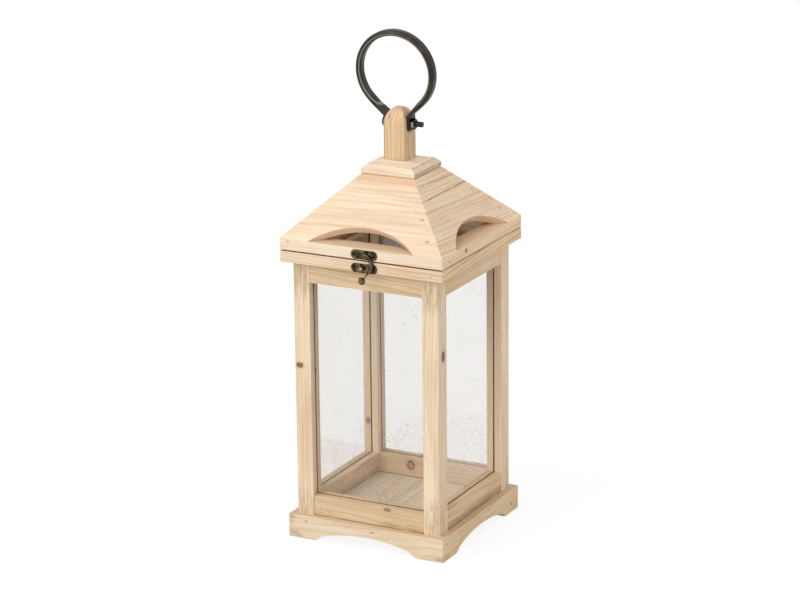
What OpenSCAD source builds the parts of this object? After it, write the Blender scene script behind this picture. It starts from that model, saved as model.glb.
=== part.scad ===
// Wooden candle lantern: a glazed square body on a plinth with four bracket feet,
// under a hinged hipped roof with arched vents, a horn latch and an iron carrying ring.
// Millimetres, +Z up. The origin is the middle of the footprint, on the ground.
// -Y is the front, where the latch is, and +X is the right-hand side.

/* [Body] */
// Width and depth over the posts
body_w = 178; // [150:1:230]
// Height of the posts, from the plinth to the collar
post_h = 296; // [200:1:400]
// Section of the square posts
post_t = 19.5; // [17:0.5:26]
// Height of the lower rails
lower_rail_h = 23.3; // [14:0.1:40]
// Height of the upper rails
upper_rail_h = 23.5; // [12:0.1:40]
// How far the rails stand back from the face of the posts
rail_recess = 0.7; // [0:0.1:2]

/* [Glazing] */
// Thickness of the panes
glass_t = 2; // [1.6:0.1:2.6]
// Width of the glass groove in posts and rails
groove_w = 3; // [2.8:0.1:4]
// Depth of the glass groove
groove_depth = 5; // [3:0.1:6]
// Wood left outside the glass groove
lip_t = 8.7; // [6:0.1:10]
// Depth of the square bead that holds the top of a pane, from the pane inwards
bead_w = 5.5; // [3:0.1:8]
// Height of the bead
bead_h = 5.2; // [4:0.1:9]
// How far the bead hangs below the collar
bead_drop = 2.5; // [1:0.1:3]

/* [Plinth] */
// Height of the plinth boards
plinth_h = 27; // [24:0.5:50]
// Thickness of the plinth boards
plinth_t = 16; // [12:0.5:20]
// Ledge that the plinth makes outside the posts
plinth_ledge = 8.5; // [3:0.5:16]
// Length of each bracket foot, from the corner
foot_l = 34; // [26:0.5:50]
// Run of the straight slant at the inside of a foot
foot_slant_run = 9; // [4:0.5:14]
// Rise of that slant
foot_slant_rise = 6.5; // [3:0.5:10]
// Height of the arch between two feet
arch_h = 14; // [11:0.5:17]
// Thickness of the floor board
floor_t = 9; // [6:0.5:10]

/* [Collar and roof rim] */
// How far collar and roof rim stand out past the posts
overhang = 11; // [6:0.5:20]
// Thickness of the collar boards
collar_t = 13; // [12:0.5:20]
// Thickness of the roof rim boards
rim_t = 13; // [12:0.5:20]
// Width of the roof rim boards
rim_board_w = 24; // [18:0.5:30]
// Gap between the collar and the closed roof
seam_gap = 1; // [0.5:0.1:1.6]
// Radius on the upright corners of plinth, collar and rim
corner_r = 2; // [0.5:0.5:4]
// Chamfer along the long outer edges of these boards
edge_ease = 0.7; // [0.3:0.1:1.5]

/* [Roof] */
// Height of the sloping roof, from the rim to the cap
roof_rise = 64.5; // [50:0.5:90]
// Thickness of the roof boards
roof_board_t = 10; // [8:0.5:12]
// Width of a vent arch along the rim
vent_w = 130; // [90:1:140]
// Height of a vent arch, measured up the slope
vent_h = 26; // [14:0.5:34]
// Width of the square cap
cap_w = 66; // [54:1:80]
// Thickness of the cap under the finial
cap_t = 13.5; // [11:0.5:18]
// Height of the upright edge of the cap
cap_edge_h = 6; // [4:0.5:8]
// Chamfer along the lower edges of the cap
cap_under = 1.6; // [0.5:0.1:2.5]
// Run of the bevel round the top of the cap
cap_bevel_run = 5; // [2:0.5:9]
// Rise of that bevel
cap_bevel_rise = 4; // [2:0.5:6]
// Height of the small step between that bevel and the top
cap_step = 1; // [0.4:0.1:1.5]

/* [Finial and ring] */
// Distance of the finial and ring from the middle of the roof, to the right
finial_x = -1.6; // [-4:0.1:4]
// Width of the finial, between the ends of the ring
finial_w = 26; // [22:0.5:32]
// Depth of the finial
finial_d = 26; // [22:0.5:32]
// Height of the finial above the cap
finial_h = 59; // [52:1:80]
// Radius of the lower part of the curve on each side of its domed head
head_side_r = 22; // [18:0.5:30]
// Radius of the curve over the top of the head
head_top_r = 9.5; // [7:0.5:10]
// Diameter of the finial's round tenon through the cap
tenon_d = 12; // [8:0.5:16]
// Height of the ring bolt above the cap
bolt_up = 40.5; // [34:0.5:46]
// Outside diameter of the carrying ring
ring_d = 95.8; // [85:0.1:120]
// Thickness of the ring's bar, measured towards the centre of the ring
ring_bar_t = 6.7; // [5:0.1:8]
// Width of the ring's bar, from front to back
ring_bar_w = 12.5; // [9:0.1:15]
// Height of the ring's centre above its bolt
ring_up = 57.3; // [50:0.1:75]
// Distance that the round of the ring is bent off its ends, to the left
ring_off = 1.7; // [-4:0.1:4]
// Angle at which the ring stands off the upright, to the front
ring_lean = 3.8; // [0:0.1:8]
// Angle below the level of its centre at which the ring's round goes straight
ring_turn = 45; // [30:1:55]
// Distance from the bolt's middle at which the bar begins to flatten
neck_x = 26; // [18:0.1:28]
// Thickness of the flattened ends of the ring
tab_t = 2.6; // [1.6:0.1:3.4]
// Width of the flattened ends
tab_w = 16; // [13:0.5:20]
// Radius on the lower corners of these ends
tab_corner = 3; // [1:0.5:5]
// Diameter of the bolt
bolt_d = 6; // [5:0.5:7]
// Length of thread that stands out past the nut
bolt_free = 8.5; // [3:0.5:14]
// Width of the nut across its flats
nut_af = 11; // [9:0.5:12]
// Thickness of the nut
nut_t = 4.2; // [3:0.1:6]
// Diameter of the bolt head
head_d = 11; // [10:0.5:13]
// Height of the bolt head
head_h = 3.8; // [2:0.1:5]

/* [Latch] */
// Distance of the latch from the middle of the front, to the right
latch_x = 5.3; // [-20:0.1:20]
// Length of both latch plates
plate_l = 31.8; // [28:0.1:38]
// Height of both latch plates
plate_h = 10.3; // [9:0.1:11]
// Thickness of both latch plates
plate_t = 1; // [0.8:0.1:1.4]
// Distance between the screws of a plate
plate_screws = 24; // [21:0.5:28]
// Distance from the rivet down to the catch stud
latch_pitch = 15.3; // [15:0.1:16]
// Distance of the catch stud to the side of the rivet
stud_x = -1.8; // [-2:0.1:0]
// Thickness of the swinging arm
arm_t = 2; // [1.4:0.1:2.4]
// Furthest reach of the arm's crescent to the side of its rivet
horn_reach = 12; // [11:0.1:13]
// Distance from the rivet down to the middle of the crescent
horn_drop = 10; // [9:0.1:12]
// Width of the crescent at its middle
horn_w = 4.3; // [3:0.1:5]
// Radius of the outside of the crescent
horn_r = 12.5; // [12:0.1:14]
// Radius of the inside of the crescent
horn_in_r = 13; // [12.6:0.1:15]
// Sideways gap between the end of the crescent and the head of the stud
horn_gap = 3.2; // [1.2:0.1:4]
// Distance from the rivet down to the knob
knob_drop = 27; // [25:0.1:29]
// Distance of the knob to the side of the rivet
knob_x = 1.5; // [0:0.1:3]
// Radius of the knob
knob_r = 4.3; // [3:0.1:4.5]
// Half the thickness of the knob
knob_half = 2.2; // [1.5:0.1:3]
// Diameter of the slanting finger that carries the knob
finger_d = 2.2; // [1.8:0.1:2.6]
// Diameter of the rivet
rivet_d = 2.4; // [2:0.1:3]
// Diameter of the neck of the catch stud
stud_neck_d = 3; // [2:0.1:4]
// Diameter of the head of the catch stud
stud_head_d = 5.4; // [4:0.1:6]
// Height of that head
stud_head_h = 2.8; // [1.4:0.1:3.2]

/* [Hinges] */
// Distance of each hinge from the middle of the back
hinge_x = 55; // [35:1:70]
// Length of a hinge
hinge_l = 25; // [20:1:34]
// Height of one leaf, from the pin to its edge
leaf_h = 11.8; // [10:0.1:12]
// Thickness of a leaf
leaf_t = 1.2; // [0.8:0.1:1.6]
// Diameter of the knuckles
knuckle_d = 5; // [4:0.1:6]
// Diameter of the hinge pin
pin_d = 2.2; // [1.6:0.1:2.6]
// Distance between the screws of a leaf
leaf_screws = 15; // [12:0.5:18]

/* [Screws] */
// Diameter of the small screws
screw_d = 2; // [1.6:0.1:2.4]
// Diameter of their countersunk heads
screw_head_d = 4.6; // [3:0.1:5]
// Length of the screws from the face of the plate
screw_l = 10; // [6:0.5:11]

/* [Clearances] */
// Radial clearance of a part that turns on a pin or bolt
run_fit = 0.05; // [0.02:0.01:0.1]
// Radial clearance of a fixed pin, bolt or screw in its hole
hold_fit = 0.05; // [0.02:0.01:0.2]
// Gap between plates, leaves and tabs that turn on one another
side_gap = 0.15; // [0.1:0.05:0.4]
// Gap between the edge of a pane and the bottom of its groove
pane_gap = 0.3; // [0.1:0.1:1]
// Gap round the floor board and beside the beads
wood_gap = 0.2; // [0.1:0.1:0.5]

/* [Hidden] */
$fn = 64;

FRONT = 0;
RIGHT = 1;
BACK = 2;
LEFT = 3;

WOOD = "#ead5b0";
SIDE_WOOD = "#e0c69c";
GLASS = "#dfe9ea";
IRON = "#3f3b36";
BRONZE = "#6a5c45";
STUD_BRASS = "#a98f55";

// Heights of the stack, from the ground up
collar_z = plinth_h + post_h;
seam_z = collar_z + collar_t;
rim_z = seam_z + seam_gap;
roof_z = rim_z + rim_t;
cap_z = roof_z + roof_rise;
finial_z = cap_z + cap_t;
bolt_z = finial_z + bolt_up;
hinge_z = seam_z + seam_gap / 2;
far = 1000;

// Widths
rim_w = body_w + 2 * overhang;
plinth_w = body_w + 2 * plinth_ledge;
post_in = body_w / 2 - post_t;
rail_face = body_w / 2 - rail_recess;
groove_out = body_w / 2 - lip_t;
glass_out = groove_out - (groove_w - glass_t) / 2;
glass_in = glass_out - glass_t;
collar_in = glass_in - wood_gap;
floor_w = plinth_w - 2 * plinth_t - 2 * wood_gap;

// Roof slope and its vent arches, whose centre lies below the edge of the board
roof_run = (rim_w - cap_w) / 2;
slope = atan2(roof_rise, roof_run);
slope_l = sqrt(roof_run * roof_run + roof_rise * roof_rise);
vent_r = (vent_w * vent_w / 4 + vent_h * vent_h) / (2 * vent_h);

// Finial head: the small circle on top touches the large ones on both sides
head_join = head_side_r - head_top_r;
function head_top_up(half) = sqrt(pow(head_join, 2) - pow(head_side_r - half, 2));
head_z = finial_z + finial_h;

// Ring: its bar leaves the round at ring_turn and runs straight to where it flattens
ring_r = (ring_d - ring_bar_t) / 2;
tab_in = finial_w / 2 + side_gap;
tab_out = tab_in + tab_t;
tab_top = tab_w / 2 + 2;
tab_drop = tab_w / 2 - 0.5;
turn_x = ring_r * cos(ring_turn);
turn_up = ring_up - ring_r * sin(ring_turn);

// Latch: every depth counts from the front face of rim and collar
latch_z = rim_z + rim_t / 2;
front_y = -rim_w / 2;
arm_back = plate_t + 0.3 + side_gap;
arm_front = arm_back + arm_t;
stud_head_back = arm_front + 0.35;
stud_front = stud_head_back + stud_head_h;
rivet_head_h = 1.2;
horn_tip = stud_x + stud_head_d / 2 + horn_gap;
knob = [knob_x, -knob_drop, stud_front + side_gap + knob_half + 0.2];

// Hinges: the knuckle clears the wood, and a leaf clears the other's knuckles
hinge_y = rim_w / 2 + knuckle_d / 2 + 0.25;
knuckle_l = (hinge_l - 2 * side_gap) / 3;
leaf_start = knuckle_d / 2 + 2 * side_gap;

screw_cone_h = (screw_head_d - screw_d) / 2;

// ---- General shapes -------------------------------------------------------

// Square with rounded corners, made of squares and circles
module soft_square(w, r) {
    square([w - 2 * r, w], center = true);
    square([w, w - 2 * r], center = true);
    for (x = [-1, 1], y = [-1, 1])
        translate([x * (w / 2 - r), y * (w / 2 - r)]) circle(r);
}

// Turns what is drawn at the front to one of the four sides
module at_side(side) {
    rotate([0, 0, 90 * side]) children();
}

// Draws an upright outline, given as depth and height, along the whole X axis
module along_x(l) {
    rotate([90, 0, 90]) linear_extrude(l, center = true) children();
}

// Everything in front of the two diagonals, so that four boards meet in mitres
module front_quarter() {
    translate([0, 0, -far / 2])
        linear_extrude(2 * far) polygon([[0, 0], [-far, -far], [far, -far]]);
}

// One mitred board of a square frame, from its outline
module mitred_board(side, w) {
    at_side(side) intersection() {
        along_x(w) children();
        front_quarter();
        translate([0, 0, -far / 2]) linear_extrude(2 * far) soft_square(w, corner_r);
    }
}

// Outline of a frame board whose outer edges are eased
module eased_outline(w, z, board_w, t) {
    e = edge_ease;
    o = -w / 2;
    polygon([[o + e, z], [o + board_w, z], [o + board_w, z + t],
        [o + e, z + t], [o, z + t - e], [o, z + e]]);
}

// Hole or shank along Y, from a face at y to depth l behind it, for a screw
module screw_form(x, y, z, dir, grow) {
    d = screw_d + 2 * grow;
    hd = screw_head_d + 2 * grow;
    translate([x, y, z]) rotate([dir * -90, 0, 0]) {
        cylinder(h = screw_l + grow, d = d);
        cylinder(h = screw_cone_h, d1 = hd, d2 = d);
    }
}

// Round rod between two points
module rod(p, q, d) {
    v = q - p;
    l = norm(v);
    translate(p) rotate([0, acos(v.z / l), atan2(v.y, v.x)]) cylinder(h = l, d = d);
}

// ---- Plinth and floor -----------------------------------------------------

// Opening between two feet: straight slants, then a flat arch
module foot_arch_outline() {
    half = plinth_w / 2 - foot_l;
    shoulder = half - foot_slant_run;
    rise = arch_h - foot_slant_rise;
    r = (shoulder * shoulder + rise * rise) / (2 * rise);
    polygon([[-half, -1], [-half, 0], [-shoulder, foot_slant_rise],
        [shoulder, foot_slant_rise], [half, 0], [half, -1]]);
    intersection() {
        translate([0, arch_h - r]) circle(r, $fn = 180);
        translate([-shoulder, foot_slant_rise - 0.01]) square([2 * shoulder, rise + 0.01]);
    }
}

module plinth_board(side) {
    difference() {
        mitred_board(side, plinth_w) eased_outline(plinth_w, 0, plinth_t, plinth_h);
        at_side(side) translate([0, -plinth_w / 2 + plinth_t + 1, 0]) rotate([90, 0, 0])
            linear_extrude(plinth_t + 2) foot_arch_outline();
    }
}

module floor_board() {
    translate([-floor_w / 2, -floor_w / 2, plinth_h - floor_t]) cube([floor_w, floor_w, floor_t]);
}

// ---- Posts, rails and glass -----------------------------------------------

// Post of the corner to the left of a side, with a groove for each of its two panes
module post(side) {
    at_side(side) difference() {
        translate([-body_w / 2, -body_w / 2, plinth_h]) cube([post_t, post_t, post_h]);
        translate([-post_in - groove_depth, -groove_out, plinth_h - 1])
            cube([groove_depth + 1, groove_w, post_h + 2]);
        translate([-groove_out, -post_in - groove_depth, plinth_h - 1])
            cube([groove_w, groove_depth + 1, post_h + 2]);
    }
}

// Lower rail: a groove for the pane along its top, and a tongue in each post's groove
module lower_rail(side) {
    tongue = groove_w - 2 * hold_fit;
    reach = post_in + groove_depth - pane_gap;
    at_side(side) difference() {
        union() {
            translate([-post_in, -rail_face, plinth_h])
                cube([2 * post_in, rail_face - post_in, lower_rail_h]);
            translate([-reach, -groove_out + hold_fit, plinth_h])
                cube([2 * reach, tongue, lower_rail_h - groove_depth]);
        }
        translate([-far / 2, -groove_out, plinth_h + lower_rail_h - groove_depth])
            cube([far, groove_w, groove_depth + 1]);
    }
}

// Upper rail: it lies wholly outside the pane, which runs up behind it
module upper_rail(side) {
    at_side(side) translate([-post_in, -rail_face, collar_z - upper_rail_h])
        cube([2 * post_in, rail_face - groove_out, upper_rail_h]);
}

module glass_pane(side) {
    half = post_in + groove_depth - pane_gap;
    foot = plinth_h + lower_rail_h - groove_depth;
    at_side(side) translate([-half, -glass_out, foot])
        cube([2 * half, glass_t, collar_z - pane_gap - foot]);
}

// Square bead on the collar's inner edge; it hangs down just inside the pane
module glazing_bead(side) {
    half = post_in - wood_gap;
    at_side(side) translate([-half, -collar_in, collar_z - bead_drop])
        cube([2 * half, bead_w, bead_h]);
}

// ---- Collar and roof ------------------------------------------------------

module collar_board(side) {
    difference() {
        mitred_board(side, rim_w) eased_outline(rim_w, collar_z, rim_w / 2 - collar_in, collar_t);
        if (side == FRONT) latch_lower_holes();
        if (side == BACK) leaf_screw_set(-1, hold_fit);
    }
}

module roof_rim(side) {
    difference() {
        mitred_board(side, rim_w) polygon([[-rim_w / 2 + edge_ease, rim_z],
            [-rim_w / 2 + rim_board_w, rim_z], [-rim_w / 2 + rim_board_w, roof_z],
            [-rim_w / 2, roof_z], [-rim_w / 2, rim_z + edge_ease]]);
        if (side == FRONT) latch_upper_holes();
        if (side == BACK) leaf_screw_set(1, hold_fit);
    }
}

// Roof board: level at the rim and under the cap, mitred along the hips,
// and cut by a round arch whose axis is square to the board
module roof_panel(side) {
    inner = roof_board_t / sin(slope);
    difference() {
        mitred_board(side, rim_w) polygon([[-rim_w / 2, roof_z], [-rim_w / 2 + inner, roof_z],
            [-cap_w / 2 + inner, cap_z], [-cap_w / 2, cap_z]]);
        at_side(side) translate([0, -rim_w / 2, roof_z]) rotate([slope, 0, 0])
            translate([0, vent_h - vent_r, -2 * roof_board_t])
                cylinder(h = 3 * roof_board_t, r = vent_r, $fn = 180);
    }
}

// Cap with an upright edge, a bevel, a small step and a low crown, the same on all sides
module roof_cap() {
    difference() {
        intersection_for (turn = [0, 90]) rotate([0, 0, turn]) along_x(cap_w) cap_outline();
        translate([finial_x, 0, cap_z - 1]) cylinder(h = cap_t + 2, d = tenon_d + 2 * hold_fit);
    }
}

module cap_outline() {
    half = cap_w / 2;
    seat = max(finial_w, finial_d) / 2 + abs(finial_x) + 0.5;
    e = cap_under;
    bevel_z = cap_z + cap_edge_h;
    step_z = bevel_z + cap_bevel_rise;
    brow = half - cap_bevel_run;
    polygon([[e - half, cap_z], [half - e, cap_z], [half, cap_z + e], [half, bevel_z],
        [brow, step_z], [brow, step_z + cap_step], [seat, finial_z], [-seat, finial_z],
        [-brow, step_z + cap_step], [-brow, step_z], [-half, bevel_z], [-half, cap_z + e]]);
}

// Finial: a square post with a domed head, and a round tenon through the cap
module finial_post() {
    difference() {
        translate([finial_x, 0, 0]) {
            intersection() {
                rotate([90, 0, 0]) linear_extrude(finial_d, center = true)
                    head_outline(finial_w / 2);
                rotate([90, 0, 90]) linear_extrude(finial_w, center = true)
                    head_outline(finial_d / 2);
            }
            translate([0, 0, cap_z]) cylinder(h = cap_t + 1, d = tenon_d);
        }
        translate([finial_x - finial_w, 0, bolt_z]) rotate([0, 90, 0])
            cylinder(h = 2 * finial_w, d = bolt_d + 2 * hold_fit);
    }
}

// Outline of the finial: upright sides, then three arcs that run into one another
module head_outline(half) {
    up = head_top_up(half);
    spring = head_z - head_top_r - up;
    join = up * head_side_r / head_join;
    translate([-half, finial_z]) square([2 * half, spring - finial_z]);
    translate([0, spring]) {
        translate([0, up]) circle(head_top_r);
        intersection() {
            translate([half - head_side_r, 0]) circle(head_side_r);
            translate([head_side_r - half, 0]) circle(head_side_r);
            translate([-half, -0.01]) square([2 * half, join + 0.01]);
        }
    }
}

// ---- Carrying ring --------------------------------------------------------

// Section of the ring's bar: flat faces towards the centre and away, round edges
module bar_outline(inset = 0) {
    flat = ring_bar_w - ring_bar_t;
    t = ring_bar_t - 2 * inset;
    square([t, flat], center = true);
    for (y = [-1, 1]) translate([0, y * flat / 2]) circle(d = t, $fn = 32);
}

// End of the ring on one side: a straight neck, then the bar flattens into an upright
// tab round the bolt. The flattening starts a lap inside the neck, a touch slimmer.
module ring_end(side) {
    start_x = turn_x - side * ring_off;
    neck_l = (start_x - neck_x) / sin(ring_turn);
    lap = 0.3;
    mirror([side < 0 ? 1 : 0, 0, 0]) {
        translate([tab_in, 0, 0]) rotate([90, 0, 90]) linear_extrude(tab_t) tab_outline();
        down_neck(start_x, 0) linear_extrude(neck_l) bar_outline();
        hull() {
            down_neck(start_x, neck_l - lap) linear_extrude(lap) bar_outline(inset = lap / 3);
            translate([tab_in, -tab_w / 2, tab_top - 1]) cube([tab_t, tab_w, 1]);
        }
    }
}

// Places what is drawn along Z at a length down the neck, from the end of the round
module down_neck(start_x, l) {
    translate([start_x, 0, turn_up]) rotate([0, ring_turn - 180, 0]) translate([0, 0, l])
        children();
}

// Outline of a tab: straight sides, and rounded corners below the bolt
module tab_outline() {
    half = tab_w / 2;
    translate([-half, tab_corner - tab_drop]) square([tab_w, tab_top + tab_drop - tab_corner]);
    translate([tab_corner - half, -tab_drop]) square([tab_w - 2 * tab_corner, tab_drop]);
    for (s = [-1, 1]) translate([s * (half - tab_corner), tab_corner - tab_drop]) circle(tab_corner);
}

module ring_handle() {
    translate([finial_x, 0, bolt_z]) rotate([ring_lean, 0, 0]) difference() {
        union() {
            translate([-ring_off, 0, ring_up]) rotate([90, 0, 0]) rotate([0, 0, -ring_turn])
                rotate_extrude(angle = 180 + 2 * ring_turn, $fn = 128)
                    translate([ring_r, 0]) bar_outline();
            ring_end(1);
            ring_end(-1);
        }
        translate([-tab_out - 1, 0, 0]) rotate([0, 90, 0])
            cylinder(h = 2 * tab_out + 2, d = bolt_d + 2 * run_fit);
    }
}

// Pan-headed bolt, its head on the left
module ring_bolt() {
    head_x = tab_out + side_gap;
    dome = 0.8;
    translate([finial_x - head_x, 0, bolt_z]) {
        rotate([0, 90, 0]) cylinder(h = 2 * head_x + nut_t + bolt_free, d = bolt_d);
        rotate([0, -90, 0]) {
            cylinder(h = head_h - dome, d = head_d);
            translate([0, 0, head_h - dome]) cylinder(h = dome, d1 = head_d, d2 = head_d - 3 * dome);
        }
    }
}

// Hexagon nut with its corners turned off at both faces
module ring_nut() {
    corners = nut_af / cos(30);
    turned = 0.7;
    translate([finial_x + tab_out + side_gap, 0, bolt_z]) rotate([0, 90, 0]) difference() {
        intersection() {
            cylinder(h = nut_t, d = corners, $fn = 6);
            rotate_extrude() polygon([[0, 0], [nut_af / 2 - 0.1, 0], [corners / 2, turned],
                [corners / 2, nut_t - turned], [nut_af / 2 - 0.1, nut_t], [0, nut_t]]);
        }
        translate([0, 0, -1]) cylinder(h = nut_t + 2, d = bolt_d + 2 * hold_fit);
    }
}

// ---- Horn latch -----------------------------------------------------------

// Places what is drawn flat, seen from the front, at a depth before the front face
module on_front(z, depth, side = 0) {
    translate([latch_x + side, front_y - depth, z]) rotate([90, 0, 0]) children();
}

module latch_screw_set(z, grow) {
    for (x = [-1, 1])
        screw_form(latch_x + x * plate_screws / 2, front_y - plate_t, z, 1, grow);
}

// Plate with round ends, two countersunk holes and a hole for what is riveted in it
module latch_plate(z, middle_d, boss_h, side = 0) {
    difference() {
        on_front(z, 0) {
            linear_extrude(plate_t) {
                square([plate_l - plate_h, plate_h], center = true);
                for (x = [-1, 1]) translate([x * (plate_l - plate_h) / 2, 0]) circle(d = plate_h);
            }
            translate([side, 0, 0]) cylinder(h = plate_t + boss_h, d = middle_d + 3);
        }
        latch_screw_set(z, hold_fit);
        on_front(z, -1, side) cylinder(h = plate_t + boss_h + 2, d = middle_d + 2 * hold_fit);
    }
}

module latch_upper_holes() {
    latch_screw_set(latch_z, hold_fit);
}

module latch_lower_holes() {
    latch_screw_set(latch_z - latch_pitch, hold_fit);
}

// Button rivet or stud: shank from the plate's back, then a domed head
module button(z, shank_d, head_back, button_d, button_h, side = 0) {
    on_front(z, 0, side) {
        cylinder(h = head_back + 0.1, d = shank_d);
        translate([0, 0, head_back]) rotate_extrude() polygon(concat([[0, 0]],
            [for (a = [0:15:90]) [button_d / 2 * cos(a * 0.75), button_h * sin(a)]],
            [[0, button_h]]));
    }
}

// Crescent between two circles, with an eye at the rivet. Its lower end stops short of
// the stud, so that the roof can lift.
module horn_outline() {
    difference() {
        translate([horn_reach - horn_r, -horn_drop]) circle(horn_r);
        translate([horn_reach - horn_w - horn_in_r, -horn_drop]) circle(horn_in_r);
        translate([horn_tip - 2 * horn_r, -far]) square([2 * horn_r, far - horn_drop]);
    }
    circle(rivet_d / 2 + 2);
}

// Arm: the flat crescent, a finger that slants out past the stud's head, and the knob.
// The finger starts in the crescent, half its thickness inside the outer edge.
module latch_arm() {
    heel_x = horn_tip + finger_d;
    heel_up = sqrt(pow(horn_r - finger_d / 2, 2) - pow(heel_x - horn_reach + horn_r, 2));
    heel = [heel_x, -horn_drop - heel_up, arm_back + finger_d / 2 + 0.1];
    on_front(latch_z, 0) {
        difference() {
            translate([0, 0, arm_back]) linear_extrude(arm_t) horn_outline();
            translate([0, 0, arm_back - 1]) cylinder(h = arm_t + 2, d = rivet_d + 2 * run_fit);
        }
        rod(heel, knob, finger_d);
        translate(knob) rotate_extrude() polygon(concat([[0, -knob_half]],
            [for (a = [-90:15:90]) [knob_r * cos(a * 0.9), knob_half * sin(a)]],
            [[0, knob_half]]));
    }
}

// ---- Hinges ---------------------------------------------------------------

// Both screws of both leaves; dir is 1 for the roof's leaves and -1 for the body's
module leaf_screw_set(dir, grow) {
    z = hinge_z + dir * (leaf_start + leaf_h) / 2;
    for (x = [-1, 1], s = [-1, 1])
        screw_form(x * hinge_x + s * leaf_screws / 2, rim_w / 2 + leaf_t, z, -1, grow);
}

// One knuckle along X with its middle at x, and the strap that joins it to the leaf
module knuckle(x, dir) {
    translate([x - knuckle_l / 2, hinge_y, hinge_z]) rotate([0, 90, 0])
        cylinder(h = knuckle_l, d = knuckle_d);
    low = dir > 0 ? 0 : -leaf_start - 1;
    translate([x - knuckle_l / 2, rim_w / 2, hinge_z + low + dir * seam_gap])
        cube([knuckle_l, leaf_t, leaf_start + 1]);
}

module hinge_leaf(x, dir) {
    places = dir > 0 ? [0] : [-1, 1];
    low = dir > 0 ? leaf_start : -leaf_h;
    bore = pin_d + 2 * (dir > 0 ? run_fit : hold_fit);
    difference() {
        union() {
            translate([x - hinge_l / 2, rim_w / 2, hinge_z + low])
                cube([hinge_l, leaf_t, leaf_h - leaf_start]);
            for (p = places) knuckle(x + p * (knuckle_l + side_gap), dir);
        }
        translate([x - hinge_l, hinge_y, hinge_z]) rotate([0, 90, 0])
            cylinder(h = 2 * hinge_l, d = bore);
        leaf_screw_set(dir, hold_fit);
    }
}

module hinge_pins() {
    for (x = [-1, 1]) translate([x * hinge_x - hinge_l / 2, hinge_y, hinge_z])
        rotate([0, 90, 0]) cylinder(h = hinge_l, d = pin_d);
}

// ---- The nodes ------------------------------------------------------------

module plinth_front() { color(WOOD) plinth_board(FRONT); }
module plinth_right() { color(SIDE_WOOD) plinth_board(RIGHT); }
module plinth_back() { color(WOOD) plinth_board(BACK); }
module plinth_left() { color(SIDE_WOOD) plinth_board(LEFT); }
module base_floor() { color(SIDE_WOOD) floor_board(); }
module post_front_left() { color(WOOD) post(FRONT); }
module post_front_right() { color(WOOD) post(RIGHT); }
module post_back_right() { color(WOOD) post(BACK); }
module post_back_left() { color(WOOD) post(LEFT); }
module lower_rail_front() { color(SIDE_WOOD) lower_rail(FRONT); }
module lower_rail_right() { color(SIDE_WOOD) lower_rail(RIGHT); }
module lower_rail_back() { color(SIDE_WOOD) lower_rail(BACK); }
module lower_rail_left() { color(SIDE_WOOD) lower_rail(LEFT); }
module upper_rail_front() { color(SIDE_WOOD) upper_rail(FRONT); }
module upper_rail_right() { color(SIDE_WOOD) upper_rail(RIGHT); }
module upper_rail_back() { color(SIDE_WOOD) upper_rail(BACK); }
module upper_rail_left() { color(SIDE_WOOD) upper_rail(LEFT); }
module glass_front() { color(GLASS, 0.3) glass_pane(FRONT); }
module glass_right() { color(GLASS, 0.3) glass_pane(RIGHT); }
module glass_back() { color(GLASS, 0.3) glass_pane(BACK); }
module glass_left() { color(GLASS, 0.3) glass_pane(LEFT); }
module glazing_bead_front() { color(SIDE_WOOD) glazing_bead(FRONT); }
module glazing_bead_right() { color(SIDE_WOOD) glazing_bead(RIGHT); }
module glazing_bead_back() { color(SIDE_WOOD) glazing_bead(BACK); }
module glazing_bead_left() { color(SIDE_WOOD) glazing_bead(LEFT); }
module collar_front() { color(WOOD) collar_board(FRONT); }
module collar_right() { color(SIDE_WOOD) collar_board(RIGHT); }
module collar_back() { color(WOOD) collar_board(BACK); }
module collar_left() { color(SIDE_WOOD) collar_board(LEFT); }
module roof_rim_front() { color(WOOD) roof_rim(FRONT); }
module roof_rim_right() { color(SIDE_WOOD) roof_rim(RIGHT); }
module roof_rim_back() { color(WOOD) roof_rim(BACK); }
module roof_rim_left() { color(SIDE_WOOD) roof_rim(LEFT); }
module roof_panel_front() { color(WOOD) roof_panel(FRONT); }
module roof_panel_right() { color(SIDE_WOOD) roof_panel(RIGHT); }
module roof_panel_back() { color(WOOD) roof_panel(BACK); }
module roof_panel_left() { color(SIDE_WOOD) roof_panel(LEFT); }
module cap_board() { color(WOOD) roof_cap(); }
module finial() { color(WOOD) finial_post(); }
module carrying_ring() { color(IRON) ring_handle(); }
module bolt() { color(IRON) ring_bolt(); }
module nut() { color(IRON) ring_nut(); }
module latch_plate_upper() { color(BRONZE) latch_plate(latch_z, rivet_d, 0.3); }
module latch_rivet() { color(BRONZE) button(latch_z, rivet_d, arm_front + side_gap, 5, rivet_head_h); }
module horn_arm() { color(BRONZE) latch_arm(); }
module latch_screws_upper() { color(BRONZE) latch_screw_set(latch_z, 0); }
module latch_plate_lower() {
    color(BRONZE) latch_plate(latch_z - latch_pitch, stud_neck_d, 0, stud_x);
}
module latch_stud() {
    color(STUD_BRASS)
        button(latch_z - latch_pitch, stud_neck_d, stud_head_back, stud_head_d, stud_head_h, stud_x);
}
module latch_screws_lower() { color(BRONZE) latch_screw_set(latch_z - latch_pitch, 0); }
module hinge_leaf_lower_left() { color(BRONZE) hinge_leaf(-hinge_x, -1); }
module hinge_leaf_lower_right() { color(BRONZE) hinge_leaf(hinge_x, -1); }
module pins() { color(BRONZE) hinge_pins(); }
module hinge_screws_lower() { color(BRONZE) leaf_screw_set(-1, 0); }
module hinge_leaf_upper_left() { color(BRONZE) hinge_leaf(-hinge_x, 1); }
module hinge_leaf_upper_right() { color(BRONZE) hinge_leaf(hinge_x, 1); }
module hinge_screws_upper() { color(BRONZE) leaf_screw_set(1, 0); }

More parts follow.
